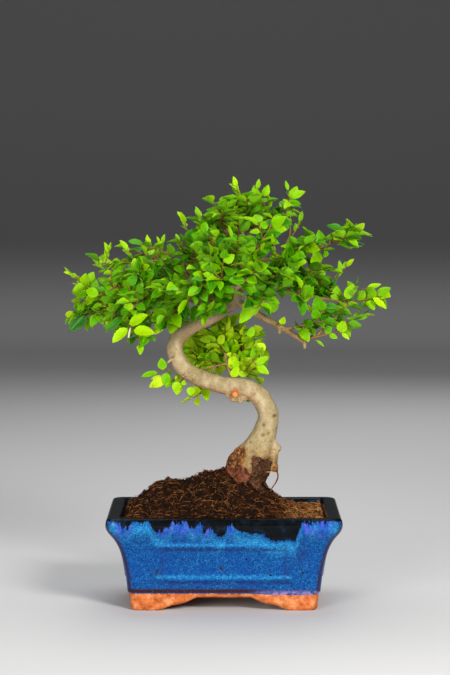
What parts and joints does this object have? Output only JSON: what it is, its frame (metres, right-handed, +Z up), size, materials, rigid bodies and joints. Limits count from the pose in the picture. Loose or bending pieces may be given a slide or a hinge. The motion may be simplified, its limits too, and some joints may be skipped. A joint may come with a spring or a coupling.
{
  "type": "sweet plum bonsai",
  "caption": "Sweet plum bonsai: an S-bent trunk with leafy sprays in a mound of soil in a glazed rectangular pot.",
  "frame": {"origin": "middle of the bounding box's underside, on the surface that the pot stands on", "axes": "+X to the right seen from the front, +Y to the back, +Z up along the trunk"},
  "size_m": [0.2856, 0.191, 0.3717],
  "materials": {
    "pot": "gloss",
    "soil": "matte",
    "wood": "matte",
    "leaf": "satin",
    "mesh": "matte"
  },
  "bodies": {
    "root": {"pot": "pot", "drain_mesh_left": "mesh", "drain_mesh_right": "mesh", "soil": "soil", "wood": "wood", "spray_01": "leaf", "spray_02": "leaf", "spray_03": "leaf", "spray_04": "leaf", "spray_05": "leaf", "spray_06": "leaf", "spray_07": "leaf", "spray_08": "leaf", "spray_09": "leaf", "spray_10": "leaf", "spray_11": "leaf", "spray_12": "leaf", "spray_13": "leaf", "spray_14": "leaf", "spray_15": "leaf", "spray_16": "leaf", "spray_17": "leaf", "spray_18": "leaf", "spray_19": "leaf", "spray_20": "leaf", "spray_21": "leaf", "spray_22": "leaf", "spray_23": "leaf", "spray_24": "leaf", "spray_25": "leaf", "spray_26": "leaf", "spray_27": "leaf", "spray_28": "leaf", "spray_29": "leaf", "spray_30": "leaf", "spray_31": "leaf", "spray_32": "leaf", "spray_33": "leaf", "spray_34": "leaf", "spray_35": "leaf", "spray_36": "leaf", "spray_37": "leaf", "spray_38": "leaf", "spray_39": "leaf", "spray_40": "leaf", "spray_41": "leaf", "spray_42": "leaf", "spray_43": "leaf", "spray_44": "leaf", "spray_45": "leaf", "spray_46": "leaf", "spray_47": "leaf", "spray_48": "leaf", "spray_49": "leaf", "spray_50": "leaf", "spray_51": "leaf", "spray_52": "leaf", "spray_53": "leaf", "spray_54": "leaf", "spray_55": "leaf"}
  },
  "joints": []
}
